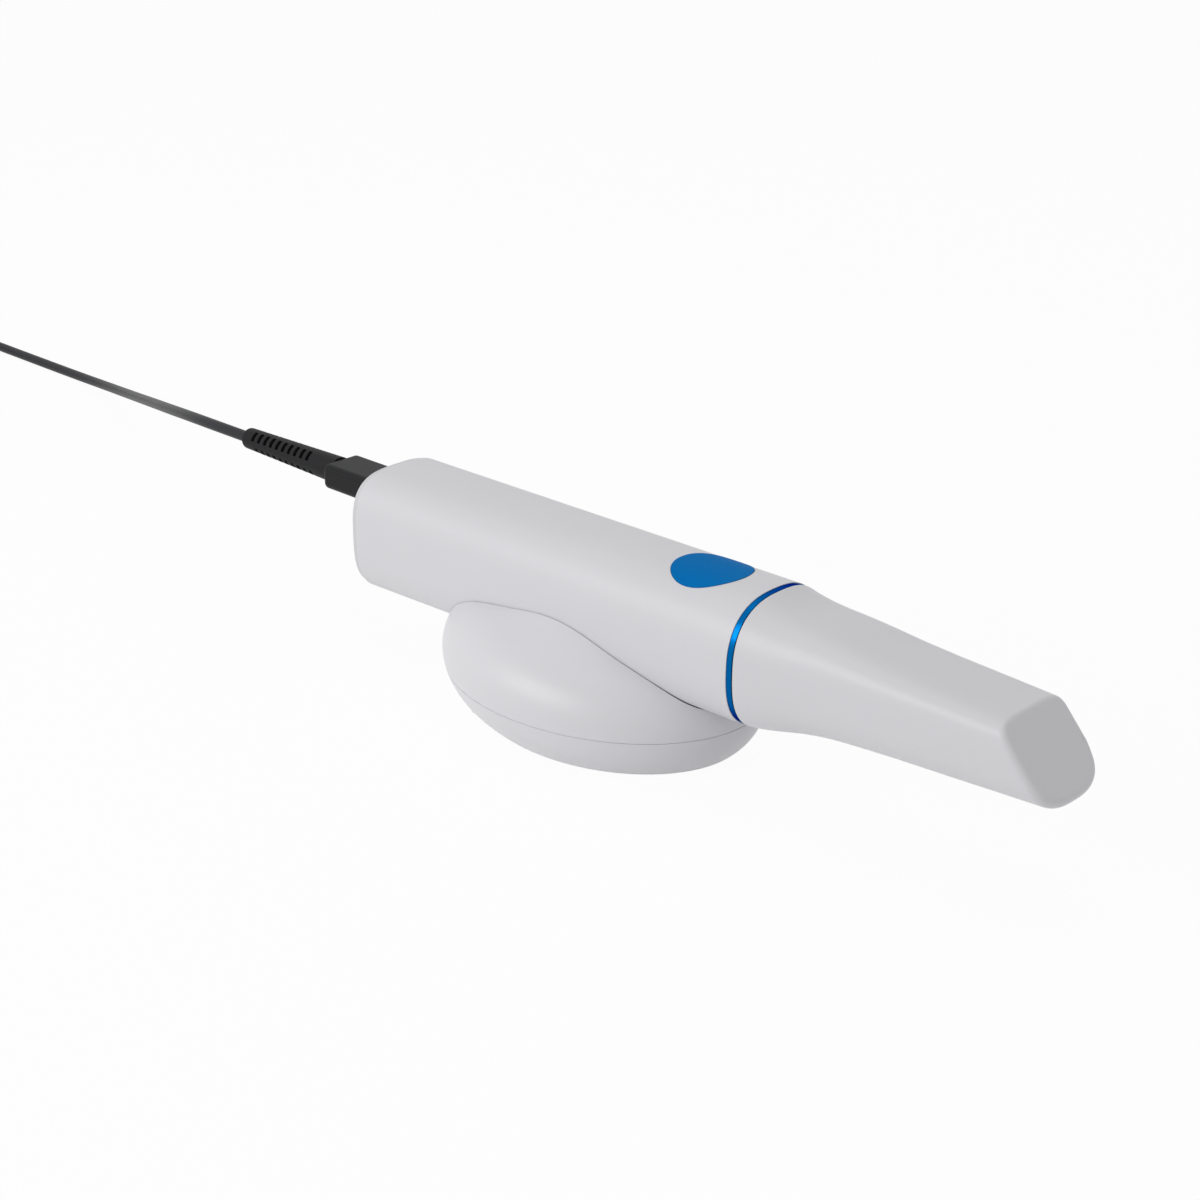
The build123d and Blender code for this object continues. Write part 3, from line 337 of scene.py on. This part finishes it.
dress(satin_white("handle_satin", 0.76, 0.42, 2.0e-5), "handle_housing")
dress(satin_white("cap_satin", 0.70, 0.45, 2.0e-5), "rear_cap")
dress(satin_white("tip_satin", 0.75, 0.40, 1.4e-5), "tip_shell")
dress(satin_white("cradle_satin", 0.775, 0.36, 1.6e-5), "cradle_shell", "cradle_base")

# %% [markdown]
# ## The blue button and the blue ring
# The button is a through-coloured blue moulding, so its colour is even and its gloss is low. The ring is
# different: metal with a clear blue anodised film, turned on a lathe. Its fine lines run round it, so the
# noise is squeezed along the handle and drawn out across it. Metallic set to one lets the blue tint the
# reflections, which is why the ring goes from navy to sky blue along its curve.


# %% Button and ring
def button_moulding():
    finish = Finish("button_blue", IOR=1.48, Specular_IOR_Level=0.02)
    cloud = finish.noise(scale=90.0, detail=2.0)
    finish.feed("Base Color", finish.blend(cloud, (0.001, 0.172, 0.51, 1.0), (0.001, 0.19, 0.55, 1.0)))
    grain = finish.noise(scale=3200.0, detail=2.0)
    finish.feed("Roughness", 0.5 + 0.08 * grain)
    finish.relief(grain, depth=1.2e-5, strength=0.3)
    return finish.material


def anodised_ring():
    finish = Finish("ring_anodised", Metallic=1.0, Specular_Tint=(0.05, 0.18, 0.42, 1.0))
    lathe = finish.noise(scale=900.0, detail=3.0, stretch=(12.0, 0.05, 0.05))
    finish.feed("Base Color", finish.blend(lathe, (0.001, 0.1, 0.325, 1.0), (0.002, 0.135, 0.39, 1.0)))
    finish.feed("Roughness", 0.2 + 0.12 * lathe)
    finish.relief(lathe, depth=6.0e-6, strength=0.4)
    return finish.material


dress(button_moulding(), "button")
dress(anodised_ring(), "trim_ring")

# %% [markdown]
# ## Dark plastics and rubbers
# The connector, boot and cord are near black, yet they read as three materials: a fine-grained hard plastic,
# a softer rubber and a smooth extruded jacket. Only the grain, its depth and the gloss differ, so one
# function serves all. Dust and handling grey a dark moulding slightly, which the broad noise stands for.


# %% Dark mouldings
def dark_moulding(name, value, roughness, grain, grain_depth, tint=(0.97, 0.985, 1.06)):
    finish = Finish(name, IOR=1.5, Specular_IOR_Level=0.1)
    dust = finish.noise(scale=60.0, detail=4.0)
    finish.feed("Base Color", finish.blend(dust, shade(value * 0.9, tint), shade(value * 1.12, tint)))
    pores = finish.noise(scale=grain, detail=3.0)
    finish.feed("Roughness", roughness - 0.06 + 0.12 * pores)
    finish.relief(pores, depth=grain_depth, strength=0.4)
    return finish.material


dress(dark_moulding("connector_moulding", 0.018, 0.44, 2400.0, 2.5e-5), "cable_connector", "far_plug_body")
dress(dark_moulding("boot_rubber", 0.02, 0.56, 1500.0, 2.5e-5), "strain_relief")
dress(dark_moulding("seal_rubber", 0.02, 0.5, 1800.0, 1.0e-5, (1.0, 1.0, 1.0)), "nose_seal")
dress(dark_moulding("foot_rubber", 0.11, 0.72, 900.0, 4.0e-5, (1.0, 1.0, 1.0)), "cradle_pad")
dress(dark_moulding("nose_moulding", 0.09, 0.5, 2200.0, 2.0e-5), "nose")
dress(dark_moulding("switch_moulding", 0.02, 0.5, 2600.0, 1.0e-5), "tact_switch", "switch_plunger")
dress(dark_moulding("optics_black", 0.014, 0.62, 3000.0, 1.0e-5), "camera_module", "projector_module")
cord_curve.materials.append(dark_moulding("cord_jacket", 0.042, 0.42, 1100.0, 1.2e-5))

# %% [markdown]
# ## Metals, mirror and glass
# Inside are a machined aluminium bench, plated steel cans and screws, a front-coated mirror and clear lenses.
# Machined and plated metal differ in how the noise is drawn out: long streaks for a cutter's path, even
# specks for plating. The mirror needs almost no roughness, and glass gets its look from transmission.


# %% Metals, mirror and glass
def streaked_metal(name, color, roughness, stretch):
    finish = Finish(name, Metallic=1.0)
    streak = finish.noise(scale=700.0, detail=3.0, stretch=stretch)
    dark = tuple(0.9 * part for part in color)
    finish.feed("Base Color", finish.blend(streak, (*dark, 1.0), (*color, 1.0)))
    finish.feed("Roughness", roughness - 0.05 + 0.14 * streak)
    finish.relief(streak, depth=1.0e-5, strength=0.3)
    return finish.material


def coated_mirror():
    finish = Finish("front_coated_mirror", Metallic=1.0)
    haze = finish.noise(scale=160.0, detail=2.0)
    finish.feed("Base Color", finish.blend(haze, (0.9, 0.91, 0.92, 1.0), (0.94, 0.94, 0.95, 1.0)))
    finish.feed("Roughness", 0.02 + 0.02 * haze)
    return finish.material


def clear_glass():
    finish = Finish("optic_glass", Transmission_Weight=1.0, IOR=1.52)
    smear = finish.noise(scale=220.0, detail=2.0)
    finish.feed("Base Color", finish.blend(smear, (0.9, 0.95, 0.98, 1.0), (0.95, 0.98, 1.0, 1.0)))
    finish.feed("Roughness", 0.01 + 0.03 * smear)
    return finish.material


dress(streaked_metal("machined_aluminium", (0.74, 0.75, 0.76), 0.34, (0.06, 1.0, 1.0)),
      "optical_bench", "led_heat_sink")
dress(streaked_metal("bright_plating", (0.66, 0.66, 0.63), 0.26, (1.0, 1.0, 1.0)),
      "processor_can", "data_socket", "connector_plug", "far_plug_shell")
dress(streaked_metal("screw_plating", (0.58, 0.58, 0.59), 0.3, (1.0, 1.0, 0.2)),
      "board_screws", "cradle_screws")
dress(streaked_metal("cut_steel", (0.45, 0.45, 0.46), 0.4, (1.0, 0.06, 1.0)), "cradle_weight")
dress(coated_mirror(), "tip_mirror")
dress(clear_glass(), "nose_window", "camera_lens", "projector_lens")

# %% [markdown]
# ## Circuit boards, plug tongue and strap
# A board is green lacquer over copper, and the tracks show through as a paler green. A brick pattern gives
# runs that go straight along the board with gaps between them. The strap round the coil is woven, so two
# sets of waves at right angles make its over-and-under.


# %% Boards, tongue and strap
def circuit_board():
    finish = Finish("board_lacquer", IOR=1.5, Coat_Weight=0.2, Coat_Roughness=0.2)
    tracks = Wire.node(finish.tree, "TexBrick", {"offset": 0.35, "squash": 1.0},
                       {"Vector": finish.place, "Scale": 130.0, "Mortar Size": 0.018,
                        "Color1": (0.0, 0.0, 0.0, 1.0), "Color2": (0.25, 0.25, 0.25, 1.0),
                        "Mortar": (1.0, 1.0, 1.0, 1.0)})
    finish.feed("Base Color", finish.blend(tracks, (0.006, 0.07, 0.03, 1.0), (0.02, 0.17, 0.07, 1.0)))
    finish.feed("Roughness", 0.34 - 0.06 * tracks)
    finish.relief(tracks, depth=2.0e-5, strength=0.4)
    return finish.material


def woven_strap():
    finish = Finish("woven_strap", Sheen_Weight=0.3, IOR=1.45)
    warp = Wire.node(finish.tree, "TexWave", {"wave_type": "BANDS", "bands_direction": "X"},
                     {"Vector": finish.place, "Scale": 420.0}, output="Fac")
    weft = Wire.node(finish.tree, "TexWave", {"wave_type": "BANDS", "bands_direction": "Y"},
                     {"Vector": finish.place, "Scale": 420.0}, output="Fac")
    weave = warp * (1 - weft) + weft * (1 - warp)
    finish.feed("Base Color", finish.blend(weave, (0.008, 0.008, 0.01, 1.0), (0.035, 0.035, 0.04, 1.0)))
    finish.feed("Roughness", 0.75 + 0.15 * weave)
    finish.relief(weave, depth=1.2e-4, strength=0.6)
    return finish.material


def tongue_moulding():
    finish = Finish("tongue_blue", IOR=1.48)
    cloud = finish.noise(scale=300.0, detail=2.0)
    finish.feed("Base Color", finish.blend(cloud, (0.008, 0.07, 0.32, 1.0), (0.012, 0.09, 0.38, 1.0)))
    finish.feed("Roughness", 0.4 + 0.1 * cloud)
    return finish.material


dress(circuit_board(), "main_board", "sensor_board", "switch_board")
dress(woven_strap(), "coil_tie")
dress(tongue_moulding(), "far_plug_tongue")

# %% [markdown]
# ## Table and studio light
# The picture has a plain white ground. The table is a pale matte sheet, and what the camera sees of it is
# lifted towards white by mixing in a white glow for camera, mirror and glass rays only, so the lift puts no
# light on the object, and the soft shadow under the cradle stays. A big soft lamp to the left of the camera
# makes the near side the brightest, a weaker one hangs above, and an even grey world fills the rest.


# %% Table
TABLE_SIZE = 8.0
TABLE_LIFT = 0.95


def rays_of(tree, *kinds):
    """1 for rays of the named kinds and 0 for the others."""
    others = 1.0
    for kind in kinds:
        others = others * (1 - Wire.node(tree, "LightPath", output=f"Is {kind} Ray"))
    return 1 - others


table_finish = Finish("pale_table", Base_Color=shade(0.94), Roughness=0.9, Specular_IOR_Level=0.1)
glow = Wire.node(table_finish.tree, "Emission", sockets={"Color": (1.0, 1.0, 1.0, 1.0), "Strength": 1.0})
lifted = Wire.node(table_finish.tree, "MixShader", sockets={
    0: TABLE_LIFT * rays_of(table_finish.tree, "Camera", "Glossy", "Transmission"),
    1: Wire(table_finish.shader.outputs[0]),
    2: glow,
})
table_output = table_finish.tree.nodes["Material Output"]
table_finish.tree.links.new(lifted.socket, table_output.inputs["Surface"])
half = TABLE_SIZE / 2
table_mesh = bpy.data.meshes.new("table")
corners = [(-half, -half, 0), (half, -half, 0), (half, half, 0), (-half, half, 0)]
table_mesh.from_pydata(corners, [], [(0, 1, 2, 3)])
table_mesh.materials.append(table_finish.material)
table = bpy.data.objects.new("table", table_mesh)
scene.collection.objects.link(table)
print("table", TABLE_SIZE, "m wide")


# %% Lamps and world
def soft_lamp(name, place, target, size, power):
    data = bpy.data.lights.new(name, "AREA")
    data.shape = "RECTANGLE"
    data.size, data.size_y = size
    data.energy = power
    lamp = bpy.data.objects.new(name, data)
    lamp.location = place
    lamp.rotation_euler = (Vector(target) - Vector(place)).to_track_quat("-Z", "Y").to_euler()
    scene.collection.objects.link(lamp)
    print("lamp", name, power, "W")


OBJECT_MIDDLE = (0.0, 0.0, 0.04)
soft_lamp("near_side_softbox", place=(-0.55, -1.25, 0.75), target=OBJECT_MIDDLE, size=(1.0, 0.8), power=8.2)
soft_lamp("overhead_softbox", place=(-0.2, 0.25, 1.4), target=OBJECT_MIDDLE, size=(1.2, 1.0), power=2.5)
WORLD_LEVEL = 0.45
world = bpy.data.worlds.new("studio")
scene.world = world
world.use_nodes = True
background = world.node_tree.nodes["Background"]
seen = rays_of(world.node_tree, "Camera", "Glossy", "Transmission")
level = WORLD_LEVEL + (1 - WORLD_LEVEL) * seen
world.node_tree.links.new(level.socket, background.inputs["Strength"])
background.inputs["Color"].default_value = (1.0, 1.0, 1.0, 1.0)
scene.view_settings.view_transform = "Standard"
print("world at", WORLD_LEVEL)

# %% [markdown]
# ## The last update
# Dressing must not change how big the object is. The last line brings the view layer up to date.

# %% Bring the scene up to date
bpy.context.view_layer.update()
